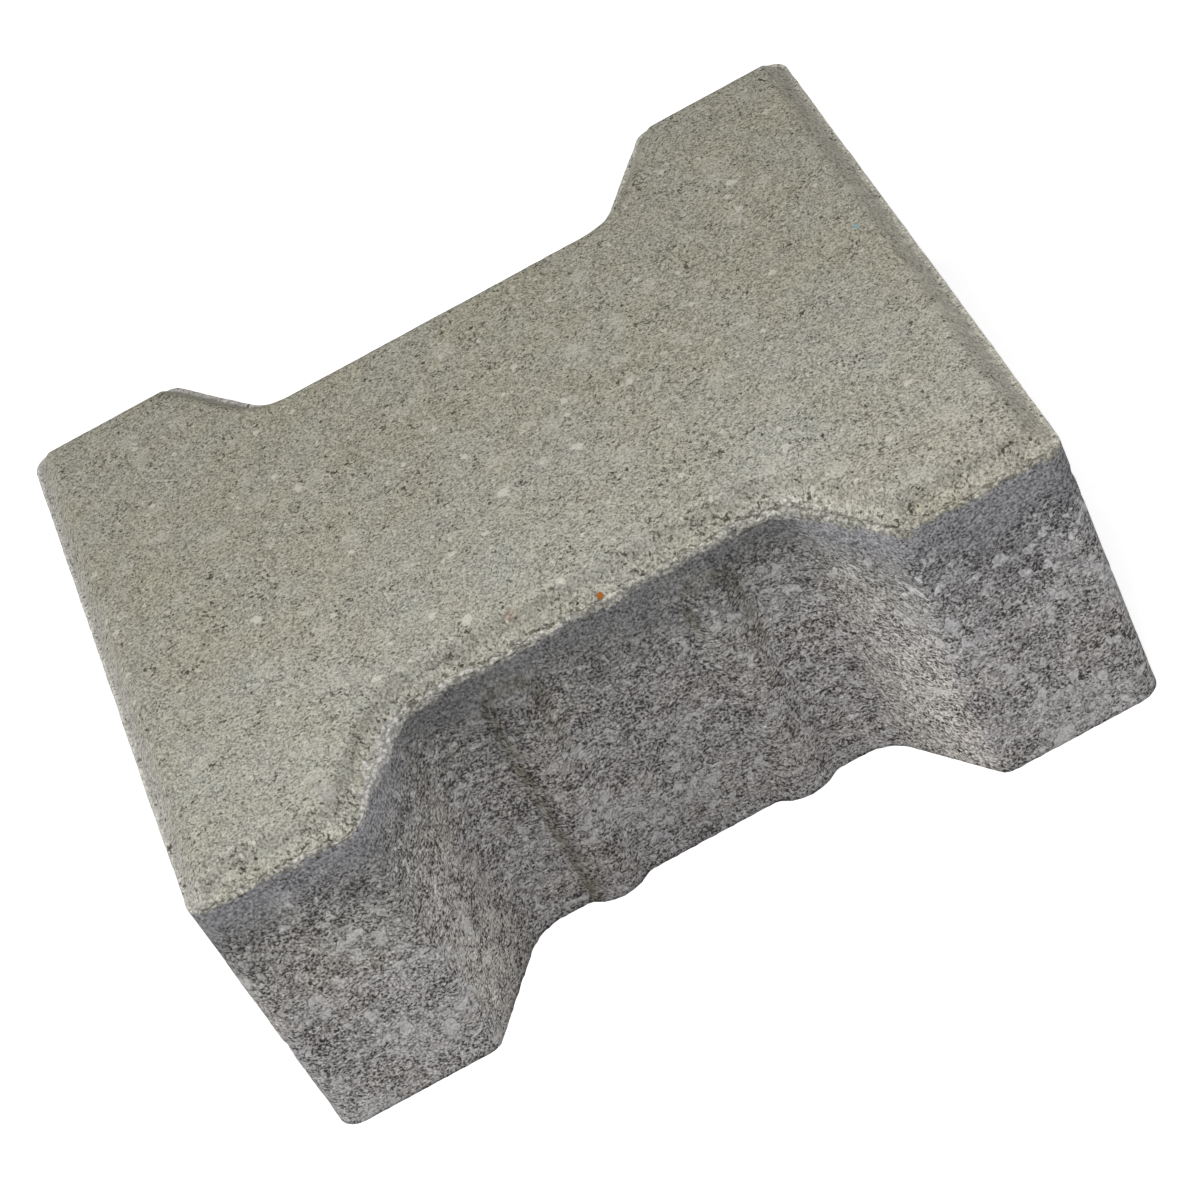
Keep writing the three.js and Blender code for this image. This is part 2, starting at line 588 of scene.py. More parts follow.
@dataclass
class Relief:
    """How pressed concrete departs from the mould's shape, in millimetres."""

    wall_wave: Layer = Layer(0.08, 34.0, seed=11, sink=0.6)
    wall_grit: Layer = Layer(0.17, 4.0, seed=23, sink=0.5)
    clusters: Layer = Layer(0.45, 16.0, seed=31, octaves=2)
    hollows: Layer = Layer(1.0, 4.2, seed=41, squeeze=(1.0, 1.0, 1.3))
    hollow_levels: Pair = (-0.18, -0.50)
    hollow_depth: float = 0.38
    paste_depths: Pair = (3.85, 15.4)
    grit_in_paste: float = 0.3
    hollows_in_paste: float = 0.12
    arris_reach: float = 5.0
    arris_share: float = 0.25
    top_wave: Layer = Layer(0.12, 30.0, seed=53, sink=0.7)
    top_grit: Layer = Layer(0.08, 2.4, seed=61, sink=0.6)
    crumbs: Layer = Layer(0.72, 1.8, seed=71, sink=0.1875, octaves=2)
    chunks: Layer = Layer(0.45, 5.4, seed=77, octaves=1)
    breaks: Layer = Layer(1.0, 10.0, seed=83)
    break_levels: Pair = (-0.05, 0.30)
    break_depth: float = 0.9
    valley_pit: float = 1.1
    valley_pit_size: float = 3.2
    valley_seed: int = 97
    valley_squeeze: Triple = (0.75, 0.75, 1.0)
    valley_pit_rim: Pair = (0.62, 0.37)
    valley_pit_chances: Pair = (0.45, 0.7)

    def wall(self, points: np.ndarray, depth: np.ndarray) -> tuple[np.ndarray, np.ndarray]:
        """Departure of the walls: slow waves, grit, and ragged hollows where they cluster.

        A hollow lies where a fractal noise sinks below a limit, and clusters shift that limit.
        Grit and hollows are weak in the paste under the lip and along the bed's arris.

        Args:
            points: Positions, shape (n, 3).
            depth: Distance below the lip's outer edge.

        Returns:
            Distance outward, mostly negative, and the share of a full hollow, shape (n,) each.
        """
        below_paste = ramp(depth, *self.paste_depths)
        hollow = ramp(self.hollows.at(points) + self.clusters.at(points), *self.hollow_levels)
        hollow *= at_least(self.hollows_in_paste, below_paste)
        fine = self.wall_grit.at(points) * at_least(self.grit_in_paste, below_paste)
        fine -= self.hollow_depth * hollow
        off_arris = at_least(self.arris_share, ramp(points[:, 2], 0.0, self.arris_reach))
        return self.wall_wave.at(points) + off_arris * fine, hollow

    def top(self, points: np.ndarray) -> np.ndarray:
        """Departure of the wearing face and the shoulder: slow waves and fine sand."""
        return self.top_wave.at(points) + self.top_grit.at(points)

    def lip(self, points: np.ndarray) -> np.ndarray:
        """Height that crumbs add to the lip, or that its broken stretches take from it."""
        broken = ramp(self.breaks.at(points), *self.break_levels)
        return self.crumbs.at(points) + self.chunks.at(points) - self.break_depth * broken

    def valley(self, points: np.ndarray) -> np.ndarray:
        """Depth of the torn pits in the valley between lip and shoulder, one in some of the cells.

        Args:
            points: Positions, shape (n, 3).

        Returns:
            Height to add, never positive, shape (n,).
        """
        squeezed = points * self.valley_squeeze
        distance, chance = cell_noise(squeezed, self.valley_pit_size, self.valley_seed)
        pit = ramp(distance, *self.valley_pit_rim) * ramp(chance, *self.valley_pit_chances)
        return -self.valley_pit * pit


@dataclass
class PavingStone:
    """The stone itself: its skin and its relief.

    Each pair of places says where a share is 0 and where it is 1, as distances along the section
    from the lip's outer edge, positive inward.
    """

    length: float
    width: float
    height: float
    ribs: SpacerRibs = field(default_factory=SpacerRibs)
    relief: Relief = field(default_factory=Relief)
    grid_margin: float = 0.9
    top_stride: int = 2
    bed_stride: int = 4
    bed_margin: float = 3.0
    rib_margin: float = 3.0
    wall_places: Pair = (0.4, -0.8)
    lip_places: Pair = (-1.2, 0.3)
    brow_places: Pair = (1.0, 0.0)
    brow_share: float = 0.6
    valley_before_end: float = 0.3
    slope_start: Pair = (-0.1, 0.15)
    slope_end: Pair = (1.1, 0.85)
    least_crumbs: float = 0.15
    least_tears: float = 0.1
    tears_on_slopes: float = 0.2
    least_wear: float = 0.1
    worn_side: Pair = (44.0, 54.0)
    worn_corner: Pair = (-2.0, 3.0)

    def __post_init__(self) -> None:
        """Makes the outline and the sections from the stone's overall size."""
        self.plan = PlanOutline(self.length, self.width)
        self.section = EdgeSection(self.height)
        self.sound_section = EdgeSection(
            self.height,
            shoulder_angle=math.radians(48.0),
            crown_radius=3.2,
            cove_radius=0.6,
            lip_width=1.2,
            lip_height=0.2,
            lip_rise=0.3,
        )

    def skin(self) -> tuple[np.ndarray, np.ndarray, np.ndarray]:
        """Smooth closed skin: the section carried round the outline, with a grid on top and bed.

        Where the lip is sound, its edge rows go over to those of the sound section.

        Returns:
            Points, triangles and places, shape (n,).
        """
        skin = Skin()
        wall = self.section.wall()
        edge = self.section.edge()
        steps = np.linalg.norm(np.diff(np.vstack([wall, edge]), axis=0), axis=1)
        along = np.concatenate([[0.0], np.cumsum(steps)])
        along -= along[len(wall) + self.section.fine_wall_steps - 1]

        bed, bed_rim = self.plan.grid(self.bed_margin, self.bed_stride)
        bed_numbers = skin.add(bed, 0.0, along[0] - self.bed_margin)
        skin.sheet(bed_numbers, facing_up=False)

        rings = [bed_numbers.ravel()[bed_rim]]
        for (inset, height), place in zip(wall, along):
            rings.append(skin.add(self.plan.ring(inset), height, place))
        for worn, sound, place in zip(edge, self.sound_section.edge(), along[len(wall) :]):
            ring = self.plan.ring(worn[0], 2)
            wear = self.wear(ring)
            sound_ring = self.plan.ring(sound[0], 2)
            ring = sound_ring + wear[:, None] * (ring - sound_ring)
            rings.append(skin.add(ring, sound[1] + wear * (worn[1] - sound[1]), place))

        top, top_rim = self.plan.grid(edge[-1, 0] + self.grid_margin, self.top_stride)
        top_numbers = skin.add(top, self.height, along[-1] + self.grid_margin)
        skin.sheet(top_numbers, facing_up=True)
        rings.append(top_numbers.ravel()[top_rim])
        for lower, upper in zip(rings[:-1], rings[1:]):
            skin.band(lower, upper)
        return skin.arrays()

    def roughened(
        self, points: np.ndarray, normals: np.ndarray, places: np.ndarray
    ) -> tuple[np.ndarray, dict[str, np.ndarray]]:
        """Moves the smooth skin's points by the ribs and the relief, inside the stone's box.

        Args:
            points: Positions, shape (n, 3).
            normals: Outward normals, shape (n, 3).
            places: Distance along the section from the lip's outer edge.

        Returns:
            New positions, shape (n, 3), and point attributes for the finish by name.
        """
        half_waist = self.plan.waist_face / 2
        flange_edge = self.length / 2 - self.plan.flange_face
        lip_end = math.pi / 2 * self.section.lip_width
        wear = self.wear(points)

        moved = points.copy()
        on_waist = (places < 0) & (np.abs(points[:, 0]) < half_waist - self.rib_margin)
        proud = self.ribs.proud(points, self.height)
        moved[:, 1] += np.sign(points[:, 1]) * proud * on_waist

        on_wall = ramp(places, *self.wall_places)
        wall_out, hollow = self.relief.wall(points, -places)
        outward = on_wall * wall_out + (1.0 - on_wall) * self.relief.top(points)
        on_bed = (points[:, 2] < BED_HEIGHT) & (normals[:, 2] < -BED_FACING)
        outward[on_bed] = 0.0

        on_lip = ramp(places, *self.lip_places) * ramp(places, lip_end, 0.5 * lip_end)
        upward = on_lip * self.relief.lip(points) * at_least(self.least_crumbs, wear)
        outward += self.brow_share * np.minimum(upward, 0.0) * ramp(places, *self.brow_places)
        moved += outward[:, None] * normals

        from_flange = (flange_edge - np.abs(points[:, 0])) / (flange_edge - half_waist)
        on_slope = ramp(from_flange, *self.slope_start) * ramp(from_flange, *self.slope_end)
        torn = at_least(self.least_tears, wear) * at_least(self.tears_on_slopes, 1.0 - on_slope)
        near_valley = np.exp(-((places - lip_end + self.valley_before_end) ** 2))
        moved[:, 2] += upward + near_valley * self.relief.valley(points) * torn

        corner = np.array([self.length / 2, self.width / 2, self.height])
        notes = {
            "place": places,
            "recess": np.clip(from_flange, 0.0, 1.0),
            "rib": proud / self.ribs.projection,
            "wear": wear,
            "hollow": hollow * on_wall,
        }
        return np.clip(moved, [-corner[0], -corner[1], 0.0], corner), notes

    def wear(self, points: np.ndarray) -> np.ndarray:
        """How crumbly the lip is: wear fades near an end, closer to its face than to the side.

        Args:
            points: Positions, shape (n, 2) or (n, 3).

        Returns:
            1 along the side at negative y, 0 where the lip is sound, shape (n,).
        """
        along_side = ramp(-points[:, 1], *self.worn_side)
        from_end = self.length / 2 - np.abs(points[:, 0])
        from_side = self.width / 2 - np.abs(points[:, 1])
        off_corner = ramp(from_end - from_side, *self.worn_corner)
        return along_side * at_least(self.least_wear, off_corner)

    def build(self) -> bpy.types.Object:
        """Makes the mesh object, with the finish's measures as point attributes.

        Returns:
            The stone's object, linked to the scene.
        """
        points, triangles, places = self.skin()
        normals = point_normals(points, triangles)
        rough, notes = self.roughened(points, normals, places)
        mesh = bpy.data.meshes.new("paving_stone_skin")
        mesh.vertices.add(len(rough))
        mesh.vertices.foreach_set("co", (rough * MM).ravel())
        mesh.loops.add(triangles.size)
        mesh.loops.foreach_set("vertex_index", triangles.ravel().astype(np.int32))
        mesh.polygons.add(len(triangles))
        mesh.polygons.foreach_set("loop_start", np.arange(0, triangles.size, 3, dtype=np.int32))
        mesh.update(calc_edges=True)
        mesh.validate()
        mesh.polygons.foreach_set("use_smooth", np.ones(len(triangles), dtype=bool))
        for name, values in notes.items():
            attribute = mesh.attributes.new(name, "FLOAT", "POINT")
            attribute.data.foreach_set("value", values.astype(np.float32))
        return linked(mesh)


# --- Nodes ----------------------------------------------------------------------------------------


@dataclass(frozen=True)
class Pattern:
    """Setting of a Noise Texture on Object coordinates.

    `size` is the width of the largest features and `offset` shifts the pattern, so that two noises
    differ, both in millimetres. `detail` counts the finer layers and `roughness` is the strength
    of each. `squeeze` is how many times narrower the features are along each axis.
    """

    size: float
    detail: float = 2.0
    roughness: float = 0.5
    offset: float = 0.0
    squeeze: Triple = (1.0, 1.0, 1.0)


class NodeSheet:
    """Short calls that add and join the nodes of one material or world."""

    def __init__(self, owner: bpy.types.Material | bpy.types.World) -> None:
        """Clears the owner's nodes and keeps its tree.

        Args:
            owner: The material or world that the nodes are for.
        """
        owner.use_nodes = True
        self.tree = owner.node_tree
        self.tree.nodes.clear()

    def add(self, kind: str, **inputs: object) -> bpy.types.Node:
        """Adds a node and sets or joins its inputs.

        Args:
            kind: Blender's name of the node type.
            **inputs: Input names, with underscores for spaces, and what each is fed with.

        Returns:
            The new node.
        """
        row, column = divmod(len(self.tree.nodes), NODES_PER_ROW)
        node = self.tree.nodes.new(kind)
        node.location = (column * NODE_STEP[0], row * NODE_STEP[1])
        for name, value in inputs.items():
            self.feed(node.inputs[name.replace("_", " ")], value)
        return node

    def feed(self, socket: bpy.types.NodeSocket, value: object) -> None:
        """Joins a socket to where a value comes from, or sets its constant.

        Args:
            socket: The input.
            value: A value, colour or socket to join it to, or a number or colour to set.
        """
        if isinstance(value, (Value, Paint)):
            value = value.socket
        if isinstance(value, bpy.types.NodeSocket):
            self.tree.links.new(value, socket)
        else:
            socket.default_value = value

    def worked(self, kind: str, values: tuple[object, ...], **settings: str) -> Value:
        """Adds a node that works a number out of others.

        Args:
            kind: Blender's name of the node type.
            values: What its first inputs are fed with, in order.
            **settings: The node's own settings by name.

        Returns:
            The node's first output.
        """
        node = self.add(kind)
        for name, setting in settings.items():
            setattr(node, name, setting)
        for socket, value in zip(node.inputs, values):
            self.feed(socket, value)
        return Value(self, node.outputs[0])

    def mixed(
        self, kind: str, share: object, first: object, second: object, mode: str = "MIX"
    ) -> bpy.types.NodeSocket:
        """Result of a Mix node.

        Args:
            kind: "FLOAT" or "RGBA", what it mixes.
            share: How much of the second there is.
            first: What there is where the share is 0.
            second: What there is where the share is 1.
            mode: How the second is laid on the first.

        Returns:
            The node's result.
        """
        node = self.add("ShaderNodeMix")
        node.data_type = kind
        node.blend_type = mode
        for name, value in (("Factor", share), ("A", first), ("B", second)):
            self.feed(node.inputs[name], value)
        return node.outputs["Result"]

    def blend(self, share: object, first: object, second: object, mode: str = "MIX") -> Paint:
        """Colour between two colours, in a mode of the Mix node."""
        return Paint(self, self.mixed("RGBA", share, first, second, mode))

    def attribute(self, name: str) -> Value:
        """Reads a point attribute of the mesh.

        Args:
            name: The attribute's name.

        Returns:
            Its value.
        """
        node = self.add("ShaderNodeAttribute")
        node.attribute_name = name
        return Value(self, node.outputs["Fac"])

    def coordinates(self) -> bpy.types.NodeSocket:
        """Object coordinates, in metres."""
        return self.add("ShaderNodeTexCoord").outputs["Object"]

    def shifted(self, offset: float, squeeze: Triple = (1.0, 1.0, 1.0)) -> bpy.types.NodeSocket:
        """Object coordinates, scaled along each axis and then moved.

        Args:
            offset: How far they are moved along every axis, in millimetres.
            squeeze: What they are multiplied by along each axis, where there is an offset.

        Returns:
            The new coordinates.
        """
        if offset == 0.0:
            return self.coordinates()
        place = (offset * MM,) * 3
        node = self.add(
            "ShaderNodeMapping", Vector=self.coordinates(), Location=place, Scale=squeeze
        )
        return node.outputs[0]

    def noise(self, pattern: Pattern) -> Value:
        """Adds a noise.

        Args:
            pattern: Its setting.

        Returns:
            Its value, about 0.5 on average.
        """
        node = self.add(
            "ShaderNodeTexNoise",
            Vector=self.shifted(pattern.offset, pattern.squeeze),
            Scale=1.0 / (pattern.size * MM),
            Detail=pattern.detail,
            Roughness=pattern.roughness,
        )
        return Value(self, node.outputs[0])

    def cells(self, size: float, offset: float, dimensions: str = "3D") -> tuple[Value, Value]:
        """Cells of a Voronoi Texture on Object coordinates.

        Args:
            size: Their width in millimetres.
            offset: Shifts the pattern, in millimetres.
            dimensions: "2D" for upright columns, "3D" for cells on all sides.

        Returns:
            Distance from the cell's middle as a share of its width, and the cell's random number
            from 0 to 1.
        """
        place = self.shifted(offset)
        node = self.add("ShaderNodeTexVoronoi", Vector=place, Scale=1.0 / (size * MM))
        node.voronoi_dimensions = dimensions
        chances = self.add("ShaderNodeSeparateColor", Color=node.outputs["Color"])
        return Value(self, node.outputs["Distance"]), Value(self, chances.outputs[0])


@dataclass(frozen=True)
class Value:
    """Number that the nodes work out at each point. Sums and products of values add Math nodes."""

    sheet: NodeSheet
    socket: bpy.types.NodeSocket

    def math(self, operation: str, *others: Value | float) -> Value:
        """Result of a Math node on this value and others."""
        return self.sheet.worked("ShaderNodeMath", (self, *others), operation=operation)

    def __add__(self, other: Value | float) -> Value:
        """Sum of two values."""
        return self.math("ADD", other)

    def __sub__(self, other: Value | float) -> Value:
        """Difference of two values."""
        return self.math("SUBTRACT", other)

    def __mul__(self, other: Value | float) -> Value:
        """Product of two values."""
        return self.math("MULTIPLY", other)

    def __truediv__(self, other: Value | float) -> Value:
        """Quotient of two values."""
        return self.math("DIVIDE", other)

    def __abs__(self) -> Value:
        """Size of the value without its sign."""
        return self.math("ABSOLUTE")

    def at_least(self, other: Value | float) -> Value:
        """Larger one of two values."""
        return self.math("MAXIMUM", other)

    def at_most(self, other: Value | float) -> Value:
        """Smaller one of two values."""
        return self.math("MINIMUM", other)

    def above(self, limit: float) -> Value:
        """1 where the value is above a limit, else 0."""
        return self.math("GREATER_THAN", limit)

    def under(self, limit: float) -> Value:
        """1 where the value is under a limit, else 0."""
        return self.math("LESS_THAN", limit)

    def ranged(self, curve: str, low: float, high: float, ends: tuple[object, object]) -> Value:
        """First of two ends where this is at `low`, the second where it is at `high`."""
        values = (self, low, high, *ends)
        return self.sheet.worked("ShaderNodeMapRange", values, interpolation_type=curve)

    def eased(self, low: float, high: float, start: float = 0.0, end: float = 1.0) -> Value:
        """Eased step from `start`, where this is at `low`, to `end`, where it is at `high`."""
        return self.ranged("SMOOTHSTEP", low, high, (start, end))

    def linear(self, start: float, end: float, low: float = 0.25, high: float = 0.75) -> Value:
        """Straight ramp from `start`, where this is at `low`, to `end`, held beyond its ends."""
        return self.ranged("LINEAR", low, high, (start, end))

    def between(self, first: Value | float, second: Value | float) -> Value:
        """Number between two others: the first where this is 0, the second where it is 1."""
        return Value(self.sheet, self.sheet.mixed("FLOAT", self, first, second))

    def window(self, rise: Pair, fall: Pair) -> Value:
        """Product of two eased steps: 1 where this is past both, 0 where it is short of either."""
        return self.eased(*rise) * self.eased(*fall)

    def softened(self, knee: float, share: float) -> Value:
        """Value whose excess over `knee` is cut by a share, so that few specks are very bright."""
        return (self - knee).at_least(0.0) * -share + self


@dataclass(frozen=True)
class Paint:
    """Colour that the nodes work out at each point."""

    sheet: NodeSheet
    socket: bpy.types.NodeSocket

    def covered(self, share: Value | float, other: Paint | Colour) -> Paint:
        """This colour with another one laid over it by a share."""
        return self.sheet.blend(share, self, other)

    def shaded(self, factor: Value | Paint | Colour, share: Value | float = 1.0) -> Paint:
        """This colour times a factor, by a share."""
        return self.sheet.blend(share, self, factor, "MULTIPLY")


def grey(value: float) -> Colour:
    """Grey colour of a linear value."""
    return (value, value, value, 1.0)


# --- Finish ---------------------------------------------------------------------------------------


@dataclass(frozen=True)
class Speck:
    """Coloured mark on the surface: its middle and radius in millimetres, colour and strength."""

    middle: Triple
    radius: float
    colour: Colour
    strength: float
    rim: Pair = (1.15, 0.75)

    def cover(self, sheet: NodeSheet) -> Value:
        """Adds the mark: a ball whose radius a noise swells and shrinks.

        Args:
            sheet: The node sheet.

        Returns:
            Share of the mark's colour, 0 outside it.
        """
        distance = sheet.add("ShaderNodeVectorMath", Vector=sheet.coordinates())
        distance.operation = "DISTANCE"
        distance.inputs[1].default_value = tuple(value * MM for value in self.middle)
        swell = sheet.noise(Pattern(0.9 * self.radius, 2.0, 0.6)) * 1.2 + 0.4
        share = Value(sheet, distance.outputs["Value"]) / (self.radius * MM)
        return (share / swell).eased(*self.rim, 0.0, self.strength)


@dataclass(frozen=True)
class Spots:
    """Scattered pale spots: lengths in millimetres, share of the cells that carry a spot."""

    spacing: float
    share: float
    radii: Pair
    softness: float
    strength: float
    offset: float

    def cover(self, sheet: NodeSheet) -> Value:
        """Adds the spots: cells chosen at random carry one each, of random radius and ragged.

        Args:
            sheet: The node sheet.

        Returns:
            Share of the spots' colour, 0 outside them.
        """
        distance, chance = sheet.cells(self.spacing, self.offset, "2D")
        unchosen = 1.0 - self.share
        smallest, largest = (radius / self.spacing for radius in self.radii)
        radius = chance.linear(smallest, largest, unchosen, 1.0)
        swell = sheet.noise(Pattern(1.2 * self.radii[1], 2.0, 0.6)).linear(0.4, 1.6, 0.3, 0.7)
        inside = (distance / (radius * swell)).eased(1.0 + self.softness, 1.0 - self.softness)
        return chance.above(unchosen) * inside * self.strength


@dataclass(frozen=True)
class SandFinish:
    """Colours and noises of the wearing face, the shoulder and the lip.

    Cells are given by their width and offset in millimetres.
    """

    sand: Colour = (0.386, 0.369, 0.291, 1.0)
    cool_sand: Colour = (0.376, 0.369, 0.318, 1.0)
    sandy_shade: Colour = (0.99, 0.967, 0.945, 1.0)
    lip_paste: Colour = (0.415, 0.403, 0.368, 1.0)
    sandy_paste: Colour = (0.421, 0.406, 0.351, 1.0)
    pore: Colour = (0.047, 0.042, 0.026, 1.0)
    pale_grain: Colour = (0.66, 0.64, 0.56, 1.0)
    crumb: Colour = (0.60, 0.585, 0.55, 1.0)
    pore_share: float = 0.75
    deep_pore_share: float = 0.85
    crack_share: float = 0.66
    fine_noise: Pattern = Pattern(0.5, 1.5, 0.6)
    clump_noise: Pattern = Pattern(2.4, 2.0, 0.5, 3.0)
    cloud_noise: Pattern = Pattern(15.0, 3.0, 0.5, 7.0)
    tear_noise: Pattern = Pattern(1.1, 2.0, 0.6, 27.0)
    band_noise: Pattern = Pattern(2.6, 3.0, 0.7, 63.0)
    cluster_noise: Pattern = Pattern(6.0, 1.0, 0.5, 33.0)
    pore_noise: Pattern = Pattern(1.0, 2.5, 0.6, 53.0)
    deep_noise: Pattern = Pattern(1.5, 2.0, 0.65, 91.0)
    rim_noise: Pattern = Pattern(2.6, 2.0, 0.6, 83.0)
    crumb_noise: Pattern = Pattern(1.3, 2.0, 0.7, 3.0)
    crack_noise: Pattern = Pattern(3.2, 2.0, 0.6, 39.0)
    width_noise: Pattern = Pattern(2.0, 2.0, 0.6, 57.0)
    grain_cells: Pair = (0.62, 71.0)
    chunk_cells: Pair = (1.0, 17.0)
    pale_spots: tuple[Spots, ...] = (
        Spots(12.0, 0.45, (1.3, 2.6), 0.5, 0.26, 13.0),
        Spots(19.0, 0.26, (0.7, 1.3), 0.22, 0.78, 61.0),
        Spots(9.0, 0.22, (0.42, 0.82), 0.25, 0.74, 47.0),
        Spots(3.4, 0.18, (0.20, 0.40), 0.3, 0.70, 29.0),
    )
    specks: tuple[Speck, ...] = (
        Speck((3.25, -53.45, 74.7), 0.85, (0.36, 0.13, 0.028, 1.0), 1.0),
        Speck((-14.8, -50.7, 79.5), 1.5, (0.42, 0.25, 0.20, 1.0), 0.25),
        Speck((89.0, 6.4, 79.9), 0.8, (0.25, 0.42, 0.48, 1.0), 0.8),
        Speck((-63.8, -70.8, 78.0), 3.0, (0.50, 0.48, 0.45, 1.0), 0.35),
    )


@dataclass(frozen=True)
class MouldFinish:
    """Colours and noises of the walls: bluish fine paste at the top, open backing below.

    Cells are given by their width and offset in millimetres.
    """

    paste: Colour = (0.265, 0.263, 0.272, 1.0)
    backing: Colour = (0.455, 0.435, 0.431, 1.0)
    brown_backing: Colour = (0.44, 0.41, 0.385, 1.0)
    pale_patch: Colour = (0.50, 0.495, 0.50, 1.0)
    bleached: Colour = (0.452, 0.441, 0.435, 1.0)
    pit: Colour = (0.047, 0.040, 0.040, 1.0)
    upper_recess_shade: Colour = (0.825, 0.825, 0.795, 1.0)
    lower_recess_shade: Colour = grey(0.85)
    warm_shade: Colour = (1.0, 0.995, 0.95, 1.0)
    rib_shade: Colour = (0.58, 0.56, 0.46, 1.0)
    pit_share: float = 0.98
    sway_noise: Pattern = Pattern(16.0, 2.0, 0.5, 9.0)
    rough_noise: Pattern = Pattern(2.4, 3.0, 0.8, 61.0, (1.0, 0.7, 1.4))
    crevice_noise: Pattern = Pattern(0.9, 2.5, 0.8, 71.0, (1.0, 0.7, 1.5))
    lump_noise: Pattern = Pattern(2.2, 1.0, 0.5, 19.0)
    grit_noise: Pattern = Pattern(0.6, 1.0, 0.6, 3.0)
    cluster_noise: Pattern = Pattern(7.0, 2.0, 0.5, 29.0, (1.0, 1.0, 1.3))
    slow_noise: Pattern = Pattern(26.0, 2.0, 0.5, 37.0)
    zone_noise: Pattern = Pattern(17.0, 2.0, 0.5, 67.0)
    patch_noise: Pattern = Pattern(2.7, 1.5, 0.5, 23.0)
    brown_noise: Pattern = Pattern(15.0, 3.0, 0.55, 41.0)
    flank_shade_noise: Pattern = Pattern(3.0, 3.0, 0.7, 77.0)
    grain_cells: Pair = (0.7, 31.0)


@dataclass
class Surface:
    """What the finish knows of each point, read from the mesh by nodes on one sheet.

    Lengths are in millimetres: `x` and `y` across the stone, `along` the section from the lip's
    outer edge, positive inward, and `ragged` the same with noise added. `wear` is 1 where the lip
    is crumbly and 0 where it is sound, `recess` is 1 along the waist and 0 along the flanges,
    `rib` is 1 on the crown of a rib, and `hollow` is 1 in the relief's full hollows.
    """

    sheet: NodeSheet
    wander_noise: Pattern = Pattern(4.5, 3.0, 0.7, 5.0)

    def __post_init__(self) -> None:
        """Adds the nodes that read the measures."""
        sheet = self.sheet
        self.along = sheet.attribute("place")
        self.recess = sheet.attribute("recess")
        self.wear = sheet.attribute("wear")
        self.rib = sheet.attribute("rib")
        self.hollow = sheet.attribute("hollow")
        where = sheet.add("ShaderNodeSeparateXYZ", Vector=sheet.coordinates())
        self.x, self.y = (Value(sheet, socket) / MM for socket in where.outputs[:2])
        lowered = self.recess * self.wear * 0.8 + self.along
        wander = sheet.noise(self.wander_noise) - 0.5
        self.ragged = wander * self.wear.between(1.5, 7.5) + lowered


